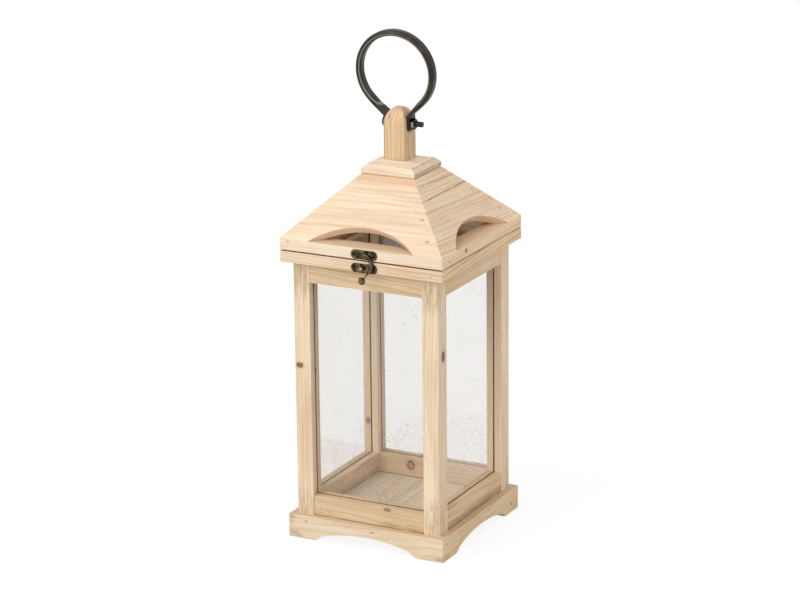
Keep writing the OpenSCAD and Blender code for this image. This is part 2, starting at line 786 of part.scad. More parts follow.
plinth_front();
plinth_right();
plinth_back();
plinth_left();
base_floor();  // floor_board
post_front_left();
post_front_right();
post_back_right();
post_back_left();
lower_rail_front();
lower_rail_right();
lower_rail_back();
lower_rail_left();
upper_rail_front();
upper_rail_right();
upper_rail_back();
upper_rail_left();
glass_front();
glass_right();
glass_back();
glass_left();
glazing_bead_front();
glazing_bead_right();
glazing_bead_back();
glazing_bead_left();
collar_front();
collar_right();
collar_back();
collar_left();
roof_rim_front();
roof_rim_right();
roof_rim_back();
roof_rim_left();
roof_panel_front();
roof_panel_right();
roof_panel_back();
roof_panel_left();
cap_board();  // roof_cap
finial();  // finial_post
carrying_ring();  // ring_handle
bolt();  // ring_bolt
nut();  // ring_nut
latch_plate_upper();
latch_rivet();
horn_arm();  // latch_arm
latch_screws_upper();
latch_plate_lower();
latch_stud();
latch_screws_lower();
hinge_leaf_lower_left();
hinge_leaf_lower_right();
pins();  // hinge_pins
hinge_screws_lower();
hinge_leaf_upper_left();
hinge_leaf_upper_right();
hinge_screws_upper();
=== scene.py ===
import math

import bpy
from mathutils import Matrix, Vector


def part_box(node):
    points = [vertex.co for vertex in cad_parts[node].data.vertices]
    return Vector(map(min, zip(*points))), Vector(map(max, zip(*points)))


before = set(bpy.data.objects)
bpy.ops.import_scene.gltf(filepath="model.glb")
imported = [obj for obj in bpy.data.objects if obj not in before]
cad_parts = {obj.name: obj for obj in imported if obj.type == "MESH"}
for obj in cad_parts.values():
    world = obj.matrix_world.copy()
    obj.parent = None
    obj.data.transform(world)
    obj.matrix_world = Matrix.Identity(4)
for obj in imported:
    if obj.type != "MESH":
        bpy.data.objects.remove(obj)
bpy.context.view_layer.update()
bpy.ops.object.select_all(action="DESELECT")

# ---- Camera -------------------------------------------------------------------------
# The lantern is seen from the front right and a little above, through a long lens, with
# the camera tilted by half a degree. Place and angles were solved from the photograph.
turn_deg, rise_deg, roll_deg = 27.44, 16.84, -0.616
camera_place = (1.4871, -2.8705, 1.2430)
sensor_mm, lens_mm = 36.0, 135.86
turn, rise, roll = (math.radians(angle) for angle in (turn_deg, rise_deg, roll_deg))
level_reach = math.cos(rise)
towards = Vector((math.sin(turn) * level_reach, -math.cos(turn) * level_reach, math.sin(rise)))
right = Vector((math.cos(turn), math.sin(turn), 0.0))
up = towards.cross(right)
rolled_right = math.cos(roll) * right + math.sin(roll) * up
rolled_up = math.cos(roll) * up - math.sin(roll) * right
lens = bpy.data.cameras.new("studio_camera")
lens.sensor_fit = "HORIZONTAL"
lens.sensor_width = sensor_mm
lens.lens = lens_mm
camera = bpy.data.objects.new("studio_camera", lens)
bpy.context.scene.collection.objects.link(camera)
camera.matrix_world = Matrix.Translation(camera_place) @ Matrix(
    (rolled_right, rolled_up, towards)
).transposed().to_4x4()
bpy.context.scene.camera = camera
bpy.context.scene.view_settings.view_transform = "Standard"


# ---- Studio -------------------------------------------------------------------------
# A white sweep lit by a large soft light from the front left and a weaker one from the
# right. The camera, reflections and panes see it white; the light it sheds is weaker.
def colour(code):
    """An sRGB hex value as the linear colour that a socket takes."""
    parts = [int(code[i : i + 2], 16) / 255 for i in (1, 3, 5)]
    return [p / 12.92 if p <= 0.04045 else ((p + 0.055) / 1.055) ** 2.4 for p in parts] + [1.0]


def add(tree, kind, *values, inputs=None, **settings):
    """Adds a node. Values go to its inputs in order, and others by name or number. A value
    may be another node, which stands for its first output, or any node's output."""
    node = tree.nodes.new("ShaderNode" + kind)
    for name, value in settings.items():
        setattr(node, name, value)
    for key, value in [*enumerate(values), *(inputs or {}).items()]:
        if isinstance(value, bpy.types.Node):
            value = value.outputs[0]
        if isinstance(value, bpy.types.NodeSocket):
            tree.links.new(value, node.inputs[key])
        else:
            node.inputs[key].default_value = value
    return node


def looked_at(tree):
    """1 for what the camera sees, also in a reflection or through a pane, and else 0."""
    path = add(tree, "LightPath").outputs
    seen = add(tree, "Math", path["Is Camera Ray"], path["Is Glossy Ray"], operation="MAXIMUM")
    return add(tree, "Math", seen, path["Is Transmission Ray"], operation="MAXIMUM")


sky_light, sky_white = 0.62, 1.0
world = bpy.data.worlds.new("white_studio")
world.use_nodes = True
bpy.context.scene.world = world
tree = world.node_tree
tree.nodes.clear()
level = add(tree, "MapRange", looked_at(tree), inputs={"To Min": sky_light, "To Max": sky_white})
add(tree, "OutputWorld", add(tree, "Background", colour("#FFFFFF"), level))

for name, source, strength, spread_deg in (
    ("soft_key", (-0.42, -0.80, 0.75), 1.55, 60),
    ("soft_fill", (0.90, -0.25, 0.35), 0.60, 90),
):
    lamp = bpy.data.lights.new(name, "SUN")
    lamp.energy = strength
    lamp.angle = math.radians(spread_deg)
    holder = bpy.data.objects.new(name, lamp)
    bpy.context.scene.collection.objects.link(holder)
    holder.rotation_euler = Vector(source).to_track_quat("Z", "Y").to_euler()

floor_side_m, paper_glow, glow_share = 24.0, 1.10, 0.80
bpy.ops.mesh.primitive_plane_add(size=floor_side_m, location=(0.0, 0.0, 0.0))
floor = bpy.context.active_object
floor.name = "studio_floor"
paper = bpy.data.materials.new("white_paper_sweep")
paper.use_nodes = True
tree = paper.node_tree
tree.nodes.clear()
glow = add(tree, "Emission", colour("#FFFFFF"), paper_glow)
matt = add(tree, "BsdfDiffuse", colour("#DAD9D6"))
amount = add(tree, "Math", looked_at(tree), glow_share, operation="MULTIPLY")
add(tree, "OutputMaterial", add(tree, "MixShader", amount, matt, glow))
floor.data.materials.append(paper)


# ---- Posts --------------------------------------------------------------------------
# Four square posts of planed fir, unvarnished, with straight grain up their length and a
# few knots. The grooves for the glass are sawn into them.
mm_per_m = 1000.0
smooth = {"interpolation_type": "SMOOTHSTEP"}


def dress(nodes, material):
    """Gives CAD nodes one material."""
    for n in nodes:
        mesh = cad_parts[n].data
        mesh.materials.clear()
        mesh.materials.append(material)


def nearest(tree, place, spots):
    """How far a point is from the nearest spot, in that spot's own size. A spot is x, y, z,
    then its size in mm along each axis."""
    out = None
    for x, y, z, sx, sy, sz in spots:
        off = add(tree, "VectorMath", place, (x, y, z), operation="SUBTRACT")
        off = add(tree, "VectorMath", off, (1 / sx, 1 / sy, 1 / sz), operation="MULTIPLY")
        off = add(tree, "VectorMath", off, operation="LENGTH").outputs["Value"]
        out = off if out is None else add(tree, "Math", out, off, operation="MINIMUM")
    return out


def fir(name, grain, heart, pale, deep, ring=3.0, lean=(0.03, 0.02), wander=3.0,
        contrast=0.6, knots=(), knot_depth=1.0, core=0.6, rosy=0.35, nails=(), seams=(),
        boards=(), slots=(), soil_and_shade=(), soil_and_shade_strength=0.55, shaded_tops=None, lit_backs=None, ends=None,
        inside=False):
    """Planed fir, drawn as the real thing is made: growth rings round a heart that runs
    along the grain, cut by the faces of the board. Sizes are in mm; ring is the width of a
    year, and the pale early wood darkens towards the end of each."""
    material = bpy.data.materials.new(name)
    material.use_nodes = True
    tree = material.node_tree
    tree.nodes.clear()
    where = add(tree, "TexCoord").outputs
    place = add(tree, "VectorMath", where["Object"], (mm_per_m,) * 3, operation="MULTIPLY")
    axes = add(tree, "SeparateXYZ", place).outputs
    facing = add(tree, "SeparateXYZ", where["Normal"]).outputs
    along = axes["XYZ".index(grain)]
    side = [axes[i] for i in range(3) if "XYZ"[i] != grain]

    # Mottled patterns, drawn out along the grain: their length and width in mm. Real fibres
    # and flecks are some hundredths of a mm wide, and are drawn coarser so that they show.
    mottle = {}
    for pattern, wanted, long_mm, wide_mm, detail in (
        ("bow", True, 240.0, 34.0, 2.0),
        ("wave", True, 70.0, 6.0, 2.0),
        ("fibre", True, 60.0, 0.9, 3.0),
        ("cloud", True, 120.0, 16.0, 3.0),
        ("fleck", True, 7.0, 0.75, 1.0),
        ("rosy", True, 90.0, 9.0, 4.0),
        ("pores", ends, 2.2, 2.6, 2.0),
        ("streaks", soil_and_shade, 16.0, 1.8, 4.0),
        ("ragged", knots, 4.0, 3.0, 2.0),
        ("broken", seams, 30.0, 30.0, 2.0),
        ("saw_drift", inside, 120.0, 40.0, 2.0),
        ("saw_wear", inside, 60.0, 14.0, 2.0),
    ):
        if wanted:
            scale = [1 / long_mm if axis == grain else 1 / wide_mm for axis in "XYZ"]
            drawn = add(tree, "VectorMath", place, scale, operation="MULTIPLY")
            mottle[pattern] = add(
                tree, "TexNoise", drawn,
                inputs={"Scale": 1.0, "Detail": detail, "Roughness": 0.55}
            )

    # The radius from the heart, which leans and wanders and bends round knots.
    squares = []
    for i in (0, 1):
        heart_line = add(tree, "Math", along, lean[i], heart[i], operation="MULTIPLY_ADD")
        off = add(tree, "Math", side[i], heart_line, operation="SUBTRACT")
        squares.append(add(tree, "Math", off, off, operation="MULTIPLY"))
    radius = add(tree, "Math", *squares, operation="ADD")
    radius = add(tree, "Math", radius, operation="SQRT")
    for pattern, reach in (("bow", 2 * wander), ("wave", 1.2)):
        bend = add(tree, "Math", mottle[pattern], 0.5, operation="SUBTRACT")
        radius = add(tree, "Math", bend, reach, radius, operation="MULTIPLY_ADD")
    if knots:
        knot = nearest(tree, place, knots)
        pull = add(tree, "Math", knot, knot, 0.6, operation="MULTIPLY_ADD")
        pull = add(tree, "Math", 3.2 * knot_depth, pull, operation="DIVIDE")
        radius = add(tree, "Math", radius, pull, operation="ADD")

    # The years, some wide and some narrow, and the late wood at the end of each.
    years = add(tree, "Math", radius, ring, operation="DIVIDE")
    uneven = add(tree, "Math", years, 0.31, operation="MULTIPLY")
    uneven = add(tree, "TexNoise", inputs={"W": uneven, "Scale": 1.0, "Detail": 1.0},
                 noise_dimensions="1D")
    years = add(tree, "Math", uneven, 1.8, years, operation="MULTIPLY_ADD")
    season = add(tree, "Math", years, operation="FRACT")
    spring = add(tree, "MapRange", season, 0.93, 1.0, **smooth)
    spring = add(tree, "Math", 1.0, spring, operation="SUBTRACT")
    late = add(tree, "MapRange", season, 0.35, 0.90, **smooth)
    late = add(tree, "Math", late, spring, operation="MULTIPLY")
    year = add(tree, "Math", years, operation="FLOOR")
    year = add(tree, "TexWhiteNoise", inputs={"W": year}, noise_dimensions="1D")
    year = add(tree, "Math", year, 0.75, 0.25, operation="MULTIPLY_ADD")
    late = add(tree, "Math", late, year, operation="MULTIPLY")
    depth = add(tree, "Math", late, contrast, operation="MULTIPLY")
    for pattern, middle, reach in (("fibre", 0.5, 0.85), ("cloud", 0.48, 1.15)):
        swing = add(tree, "Math", mottle[pattern], middle, operation="SUBTRACT")
        depth = add(tree, "Math", swing, reach, depth, operation="MULTIPLY_ADD")
    depth = add(tree, "Math", depth, 0.12, operation="ADD", use_clamp=True)

    # Layers over the plain wood, from the lowest up: where, how strong and what colour.
    fleck = add(tree, "MapRange", mottle["fleck"], 0.66, 0.74, **smooth)
    blush = add(tree, "MapRange", mottle["rosy"], 0.50, 0.72, **smooth)
    layers = [(fleck, 0.35, "#A9805E"), (blush, rosy, "#D3A98A")]
    for low, high, tone, strength in boards:
        above = add(tree, "MapRange", axes[2], low - 0.2, low + 0.2, **smooth)
        below = add(tree, "MapRange", axes[2], high - 0.2, high + 0.2, **smooth)
        below = add(tree, "Math", 1.0, below, operation="SUBTRACT")
        layers.append((add(tree, "Math", above, below, operation="MULTIPLY"), strength, tone))
    if lit_backs or inside:
        inward = None
        for i in (0, 1):
            if "XYZ"[i] != grain:
                turned = add(tree, "Math", axes[i], operation="SIGN")
                turned = add(tree, "Math", facing[i], turned, operation="MULTIPLY")
                inward = turned if inward is None else add(
                    tree, "Math", inward, turned, operation="MINIMUM"
                )
        inward = add(tree, "Math", inward, -1.0, operation="MULTIPLY")
        inward = add(tree, "MapRange", inward, 0.40, 0.60, **smooth)
    # Painted light: faces turned in towards the middle are drawn lighter.
    if lit_backs:
        layers.append((inward, lit_backs[1], lit_backs[0]))
    # Painted shade: faces turned up are drawn darker.
    if shaded_tops:
        upward = add(tree, "MapRange", facing[2], 0.80, 0.95, **smooth)
        layers.append((upward, shaded_tops[1], shaded_tops[0]))
    if ends:
        cut = add(tree, "Math", facing["XYZ".index(grain)], operation="ABSOLUTE")
        cut = add(tree, "MapRange", cut, 0.55, 0.75, **smooth)
        saw = add(tree, "Math", mottle["cloud"], 9.0, operation="MULTIPLY")
        saw = add(tree, "Math", side[1], 1.9, saw, operation="MULTIPLY_ADD")
        across = add(tree, "Math", side[0], 2.6, operation="MULTIPLY")
        saw = add(tree, "Math", across, saw, operation="ADD")
        saw = add(tree, "Math", saw, operation="SINE")
        pores = add(tree, "MapRange", mottle["pores"], 0.34, 0.66, **smooth)
        pores = add(tree, "Math", pores, 0.45, operation="MULTIPLY")
        pores = add(tree, "Math", saw, 0.10, pores, operation="MULTIPLY_ADD")
        pores = add(tree, "Math", pores, ends[1] - 0.26, operation="ADD", use_clamp=True)
        layers.append((cut, pores, ends[0]))
    # Darker streaked spots at given places: painted shade under overhangs and where parts meet,
    # with some soil.
    if soil_and_shade:
        spot = add(tree, "MapRange", nearest(tree, place, soil_and_shade), 0.35, 1.25, **smooth)
        spot = add(tree, "Math", 1.0, spot, operation="SUBTRACT")
        streaks = add(tree, "MapRange", mottle["streaks"], 0.36, 0.66, **smooth)
        layers.append((add(tree, "Math", spot, streaks, operation="MULTIPLY"), soil_and_shade_strength, "#9A8458"))
    if knots:
        ragged = add(tree, "Math", mottle["ragged"], 0.5, operation="SUBTRACT")
        ragged = add(tree, "Math", ragged, 0.5, knot, operation="MULTIPLY_ADD")
        rim = add(tree, "Math", ragged, 0.92, operation="SUBTRACT")
        rim = add(tree, "Math", rim, operation="ABSOLUTE")
        for measure, full, none, strength, tone in (
            (ragged, 1.0, 2.4, 0.45, "#B58A5E"),
            (ragged, 0.75, 1.05, core, "#7B4B2C"),
            (rim, 0.08, 0.26, 0.85, "#4A2F1E"),
        ):
            fade = add(tree, "MapRange", measure, full, none, **smooth)
            fade = add(tree, "Math", 1.0, fade, operation="SUBTRACT")
            layers.append((fade, strength * knot_depth, tone))
    if nails:
        nail = nearest(tree, place, nails)
        for full, none, strength, tone in (
            (0.8, 2.2, 0.30, "#A98560"),
            (0.6, 1.0, 0.75, "#65482F"),
        ):
            fade = add(tree, "MapRange", nail, full, none, **smooth)
            fade = add(tree, "Math", 1.0, fade, operation="SUBTRACT")
            layers.append((fade, strength, tone))
    for tilt, height, width, strength in seams:
        gap = add(tree, "VectorMath", place, tilt, operation="DOT_PRODUCT").outputs["Value"]
        gap = add(tree, "Math", gap, height, operation="SUBTRACT")
        gap = add(tree, "Math", gap, operation="ABSOLUTE")
        line = add(tree, "MapRange", gap, width * 0.4, width, **smooth)
        line = add(tree, "Math", 1.0, line, operation="SUBTRACT")
        line = add(tree, "Math", line, strength, operation="MULTIPLY")
        broken = add(tree, "MapRange", mottle["broken"], 0.25, 0.5, **smooth)
        layers.append((line, broken, "#7E4C25"))
    if slots or inside:
        folded = add(tree, "VectorMath", place, operation="ABSOLUTE")
    # Painted shade: the insides of grooves and the gaps between parts are drawn dark.
    for middle, half in slots:
        cut = add(tree, "VectorMath", folded, middle, operation="SUBTRACT")
        cut = add(tree, "VectorMath", cut, operation="ABSOLUTE")
        cut = add(tree, "VectorMath", cut, half, operation="DIVIDE")
        cut = add(tree, "SeparateXYZ", cut).outputs
        most = add(tree, "Math", cut[0], cut[1], operation="MAXIMUM")
        most = add(tree, "Math", most, cut[2], operation="MAXIMUM")
        layers.append((add(tree, "Math", most, 1.0, operation="LESS_THAN"), 0.85, "#8C5426"))
    if inside:
        board_mm = 9.5
        sawn = add(tree, "Math", mottle["saw_drift"], 0.8, operation="MULTIPLY")
        sawn = add(tree, "Math", axes[2], 1 / board_mm, sawn, operation="MULTIPLY_ADD")
        sawn = add(tree, "Math", sawn, operation="FRACT")
        sawn = add(tree, "Math", sawn, 0.5, operation="SUBTRACT")
        sawn = add(tree, "Math", sawn, operation="ABSOLUTE")
        lines = add(tree, "MapRange", sawn, 0.04, 0.10, **smooth)
        lines = add(tree, "Math", 1.0, lines, operation="SUBTRACT")
        wear = add(tree, "MapRange", mottle["saw_wear"], 0.38, 0.52, **smooth)
        lines = add(tree, "Math", lines, wear, operation="MULTIPLY")
        lines = add(tree, "Math", lines, 0.75, operation="MULTIPLY")
        fold = add(tree, "SeparateXYZ", folded).outputs
        mitre = add(tree, "Math", fold[0], fold[1], operation="SUBTRACT")
        mitre = add(tree, "Math", mitre, operation="ABSOLUTE")
        mitre = add(tree, "MapRange", mitre, 0.9, 1.6, **smooth)
        mitre = add(tree, "Math", 1.0, mitre, operation="SUBTRACT")
        joints = add(tree, "Math", lines, mitre, operation="MAXIMUM")
        # Painted shade: inner faces are drawn redder and darker, and dark along their board
        # joints and hips.
        layers += [(inward, 0.40, "#BC8C6C"), (inward, joints, "#43291A")]
    shade = {6: colour(pale), 7: colour(deep)}
    shade = add(tree, "Mix", depth, inputs=shade, data_type="RGBA").outputs[2]
    for mask, strength, tone in layers:
        amount = add(tree, "Math", mask, strength, operation="MULTIPLY")
        shade = {6: shade, 7: colour(tone)}
        shade = add(tree, "Mix", amount, inputs=shade, data_type="RGBA").outputs[2]

    dull = add(tree, "Math", mottle["fibre"], 0.18, 0.52, operation="MULTIPLY_ADD")
    relief = add(tree, "Math", mottle["fibre"], 0.7, operation="MULTIPLY")
    relief = add(tree, "Math", late, -0.5, relief, operation="MULTIPLY_ADD")
    bump = add(tree, "Bump", inputs={"Height": relief, "Strength": 0.35, "Distance": 0.0003})
    surface = add(tree, "BsdfPrincipled", inputs={
        "Base Color": shade, "Roughness": dull, "Normal": bump, "IOR": 1.45,
        "Specular IOR Level": 0.3,
    })
    add(tree, "OutputMaterial", surface)
    return material


post_fir = fir(
    "fir_planed_posts", "Z", (14.0, -26.0), "#EFDBBE", "#CDA67B", ring=3.2, lean=(0.012, -0.008),
    knots=[(-83.6, -89.0, 202.5, 3.8, 6.0, 2.6), (-69.5, -78.2, 194.8, 3.0, 1.2, 2.8),
           (89.0, -77.6, 232.8, 3.0, 3.3, 5.2),
           (-83.6, 69.5, 88.2, 2.6, 3.0, 3.2)],
    # The glass grooves are drawn dark inside as painted shade.
    slots=[((72.2, 78.8, 190.0), (2.5, 1.6, 150.0)), ((78.8, 72.2, 190.0), (1.6, 2.5, 150.0))],
    # Painted shade under the collar at the top of the front posts; all four posts are drawn
    # darker at the feet.
    soil_and_shade=[(-80.0, -89.0, 303.0, 16.0, 12.0, 26.0), (80.0, -89.0, 303.0, 16.0, 12.0, 20.0),
            (80.0, -84.0, 40.0, 16.0, 16.0, 30.0),
            (-80.0, -84.0, 36.0, 16.0, 16.0, 26.0), (80.0, 84.0, 38.0, 16.0, 16.0, 30.0),
            (-80.0, 84.0, 38.0, 16.0, 16.0, 24.0)],
    # Painted light on the faces turned inwards.
    core=0.8, lit_backs=("#F4DCBA", 0.35),
)
dress(["post_front_left", "post_front_right", "post_back_right", "post_back_left"], post_fir)

# ---- Rails --------------------------------------------------------------------------
# Fir rails between the posts. The lower ones are cut from darker boards and grooved for
# the glass, and the one at the back has a loose knot, dark round its edge.
plinth_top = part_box("plinth_front")[1][2] * mm_per_m
rail_fir_x = fir(
    "fir_lower_rails_across", "X", (40.0, -30.0), "#DEC6A2", "#BA9367", ring=2.2, contrast=0.6,
    rosy=0.12, core=0.4,
    knots=[(23.6, -88.3, 47.8, 3.4, 3.0, 1.5), (-27.1, 69.5, 41.2, 4.4, 3.0, 5.2)],
    # Painted shade in the glass groove and in the gaps at the ends against the posts.
    slots=[((0.0, 78.8, 47.9), (72.0, 1.6, 2.4)), ((69.5, 90.0, 40.0), (0.6, 12.0, 14.0))],
    seams=[((0.0, 0.0, 1.0), plinth_top + 0.3, 0.9, 0.9)],
    # Drawn darker along the foot on the plinth.
    soil_and_shade=[(40.0, -89.0, 28.0, 34.0, 9.0, 12.0), (-55.0, -89.0, 28.0, 26.0, 9.0, 9.0),
            (-20.0, 89.0, 28.0, 50.0, 9.0, 8.0)],
)
rail_fir_y = fir(
    "fir_lower_rails_deep", "Y", (-36.0, 70.0), "#E0C7A4", "#BA9166", ring=2.4, contrast=0.6,
    rosy=0.12,
    slots=[((78.8, 0.0, 47.9), (1.6, 72.0, 2.4))],
    # A wide soft band and a thin dark joint line along the foot, and spots there, drawn darker.
    seams=[((0.0, 0.0, 1.0), plinth_top, 11.0, 0.35),
           ((0.0, 0.0, 1.0), plinth_top + 0.2, 0.8, 0.7)],
           soil_and_shade=[(89.0, 0.0, 28.0, 9.0, 90.0, 9.0), (-89.0, 10.0, 28.0, 9.0, 70.0, 8.0)],
)
# The upper rails' faces turned inwards get painted light.
upper_fir_x = fir("fir_upper_rails_across", "X", (60.0, 250.0), "#EAD3B1", "#C49A6E", ring=2.2,
                  lit_backs=("#F6EAD6", 0.8))
upper_fir_y = fir("fir_upper_rails_deep", "Y", (50.0, 262.0), "#E8D0AE", "#C49B70", ring=2.6,
                  contrast=0.7, lit_backs=("#F6EAD6", 0.8))
dress(["lower_rail_front", "lower_rail_back"], rail_fir_x)
dress(["lower_rail_left", "lower_rail_right"], rail_fir_y)
dress(["upper_rail_front", "upper_rail_back"], upper_fir_x)
dress(["upper_rail_left", "upper_rail_right"], upper_fir_y)

# ---- Floor board --------------------------------------------------------------------
# A plain fir board inside the plinth, with its grain from front to back, greyed by soot
# and dust from candles.
floor_fir = fir("fir_floor_board", "Y", (30.0, -60.0), "#E2D1B8", "#B99D7C", ring=2.6, wander=2.0)
dress(["floor_board"], floor_fir)

# ---- Glass --------------------------------------------------------------------------
# Four panes of thin window glass in the grooves, almost without colour, with specks of dust
# that have settled more thickly low down. The specks are drawn coarser than real dust is,
# about 1.5 mm across, so that they show.
speck_scale, drift_scale = 650.0, 30.0
clean_from, dusty_to, dusty_more = 0.12, 0.055, 0.07
dust_starts, dust_full = 0.88, 0.93
glass = bpy.data.materials.new("window_glass_dusty")
glass.use_nodes = True
tree = glass.node_tree
tree.nodes.clear()
metres = add(tree, "TexCoord").outputs["Object"]
height = add(tree, "SeparateXYZ", metres).outputs[2]
specks = add(tree, "TexNoise", metres,
             inputs={"Scale": speck_scale, "Detail": 1.0, "Roughness": 0.5})
drift = add(tree, "TexNoise", metres,
            inputs={"Scale": drift_scale, "Detail": 2.0, "Roughness": 0.5})
settled = add(tree, "MapRange", height, clean_from, dusty_to, 0.0, dusty_more)
grain = add(tree, "Math", specks, settled, operation="ADD")
grain = add(tree, "Math", drift, 0.30, grain, operation="MULTIPLY_ADD")
dust = add(tree, "MapRange", grain, dust_starts, dust_full, **smooth)
tint = {6: colour("#F5F4F3"), 7: colour("#A8957A")}
tint = add(tree, "Mix", dust, inputs=tint, data_type="RGBA").outputs[2]
haze = add(tree, "MapRange", dust, inputs={3: 0.0, 4: 0.2})
pane = add(tree, "BsdfPrincipled", inputs={
    "Base Color": tint, "Roughness": haze, "IOR": 1.45, "Transmission Weight": 1.0,
})
clear = add(tree, "BsdfTransparent", colour("#FDFDFC"))
shadow = add(tree, "LightPath").outputs["Is Shadow Ray"]
add(tree, "OutputMaterial", add(tree, "MixShader", shadow, pane, clear))
dress(["glass_front", "glass_right", "glass_back", "glass_left"], glass)

# ---- Glazing beads ------------------------------------------------------------------
# Thin strips of fir pinned inside the collar, which hold the tops of the panes. Only
# their ends show, through the vents.
bead_fir_x = fir("fir_beads_across", "X", (20.0, 250.0), "#DCC3A0", "#B8936A", ring=2.6)
bead_fir_y = fir("fir_beads_deep", "Y", (25.0, 260.0), "#DCC3A0", "#B8936A", ring=2.6)
dress(["glazing_bead_front", "glazing_bead_back"], bead_fir_x)
dress(["glazing_bead_left", "glazing_bead_right"], bead_fir_y)

# ---- Plinth -------------------------------------------------------------------------
# Four fir boards mitred and nailed round the foot of the posts, sawn out below to leave
# bracket feet. Nail heads show near the corners, and the corners are darker near the floor.
plinth_fir_x = fir(
    "fir_plinth_across", "X", (-20.0, 66.0), "#E8D6BA", "#C6A47A", ring=3.6, lean=(0.05, -0.03),
    contrast=0.42, wander=6.0,
    nails=[(9.2, -97.5, 21.3, 2.2, 1.0, 0.7), (-74.7, -97.5, 21.5, 1.6, 1.0, 0.7)],
    soil_and_shade=[(-94.0, -97.0, 1.0, 18.0, 6.0, 9.0), (94.0, -97.0, 1.0, 22.0, 6.0, 9.0),
            (-97.0, -97.0, 24.0, 10.0, 6.0, 10.0),
            (-88.0, 97.0, 0.0, 20.0, 6.0, 9.0), (90.0, 97.0, 0.0, 16.0, 6.0, 8.0)],
    # Painted shade on the top ledge.
    soil_and_shade_strength=0.75, shaded_tops=("#CBAE90", 0.75),
)
plinth_fir_y = fir(
    "fir_plinth_deep", "Y", (20.0, -52.0), "#E6CDA8", "#C29E70", ring=3.2, lean=(0.04, 0.03),
    nails=[(97.5, -87.6, 18.5, 1.0, 1.1, 1.3), (97.5, 16.9, 23.9, 1.0, 1.2, 0.8),
           (97.5, 77.9, 10.4, 1.0, 1.4, 1.6)],
    soil_and_shade=[(97.0, -92.0, 0.0, 6.0, 16.0, 9.0), (97.0, 90.0, 0.0, 6.0, 16.0, 9.0),
            (-97.0, -90.0, 0.0, 6.0, 18.0, 8.0), (-97.0, 92.0, 0.0, 6.0, 14.0, 9.0)],
    # Painted shade on the top ledge.
    soil_and_shade_strength=0.75, shaded_tops=("#CBAE90", 0.65),
)
dress(["plinth_front", "plinth_back"], plinth_fir_x)
dress(["plinth_left", "plinth_right"], plinth_fir_y)

# ---- Collar -------------------------------------------------------------------------
# Four mitred fir boards laid flat on the posts and nailed at the corners, where the
# nail heads show as small dark marks.
collar_fir_x = fir(
    "fir_collar_across", "X", (-70.0, 300.0), "#F0DCC0", "#CFA87D", ring=3.0, contrast=0.45,
    nails=[(86.5, -100.0, 328.2, 0.8, 1.0, 0.8)],
    # Painted shade: the gap under the roof rim is drawn dark.
    slots=[((0.0, 90.0, 336.5), (110.0, 12.0, 0.8))],
)
collar_fir_y = fir(
    "fir_collar_deep", "Y", (62.0, 296.0), "#EAD1AB", "#C59D70", ring=3.2, contrast=0.7,
    nails=[(100.0, -88.6, 326.3, 1.0, 0.8, 0.8), (100.0, 88.2, 328.3, 1.0, 0.8, 1.0)],
)
dress(["collar_front", "collar_back"], collar_fir_x)
dress(["collar_left", "collar_right"], collar_fir_y)

# ---- Roof rim -----------------------------------------------------------------------
# Four more mitred fir boards under the roof, paler than the collar, with their sawn tops
# open to view in the vents, drawn darker as painted shade. A knot shows on the right.
rim_fir_x = fir(
    "fir_rim_across", "X", (-60.0, 392.0), "#F4E2C9", "#D6B088", ring=3.2, contrast=0.4, rosy=0.2,
    nails=[(-89.3, -100.0, 347.2, 1.6, 1.0, 0.6)],
    # Painted shade: the gap over the collar is drawn dark, and the tops darker.
    slots=[((0.0, 90.0, 336.5), (110.0, 12.0, 0.8))], shaded_tops=("#C9A584", 0.60),
)
rim_fir_y = fir(
    "fir_rim_deep", "Y", (58.0, 300.0), "#EFD7B5", "#CDA67A", ring=3.0, contrast=0.7,
    knots=[(100.0, -42.0, 345.0, 4.0, 2.3, 2.0)],
    nails=[(100.0, -82.4, 342.5, 1.0, 0.9, 1.1), (100.0, 88.0, 341.0, 1.0, 1.0, 1.2),
           (100.0, 94.7, 342.0, 1.0, 0.9, 1.2)],
    # Painted shade on the tops.
    shaded_tops=("#C9A584", 0.50),
)
dress(["roof_rim_front", "roof_rim_back"], rim_fir_x)
dress(["roof_rim_left", "roof_rim_right"], rim_fir_y)

# ---- Roof panels --------------------------------------------------------------------
# Each slope is glued up from fir boards that run level, mitred along the hips, and cut by
# an arched vent. The upper glue lines have opened a little, and inside they all show dark,
# on inner faces drawn redder and darker as painted shade.
roof_fir_x = fir(
    "fir_roof_across", "X", (-62.0, 262.0), "#F1DCC0", "#D2AC82", ring=4.4, lean=(0.03, 0.03),
    wander=7.0, contrast=0.42,
    knots=[(59.9, -67.8, 381.0, 2.0, 1.6, 1.2), (75.2, -86.5, 363.0, 2.0, 1.6, 1.2)],
    knot_depth=0.4,
    boards=[(408.0, 420.0, "#D9AD8A", 0.55)], inside=True,
)
roof_fir_y = fir(
    "fir_roof_deep", "Y", (66.0, 256.0), "#EFD8BB", "#CBA47B", ring=2.9, lean=(0.02, -0.03),
    wander=2.5, contrast=0.7,
    knots=[(60.9, 52.3, 387.6, 1.2, 1.2, 0.9), (86.3, 72.5, 363.1, 1.4, 1.4, 1.0)],
    knot_depth=0.5,
    seams=[((0.0, 0.0, 1.0), 395.5, 0.55, 0.9), ((0.0, 0.033, 1.0), 406.5, 0.45, 0.85)],
    inside=True,
)
dress(["roof_panel_front", "roof_panel_back"], roof_fir_x)
dress(["roof_panel_left", "roof_panel_right"], roof_fir_y)

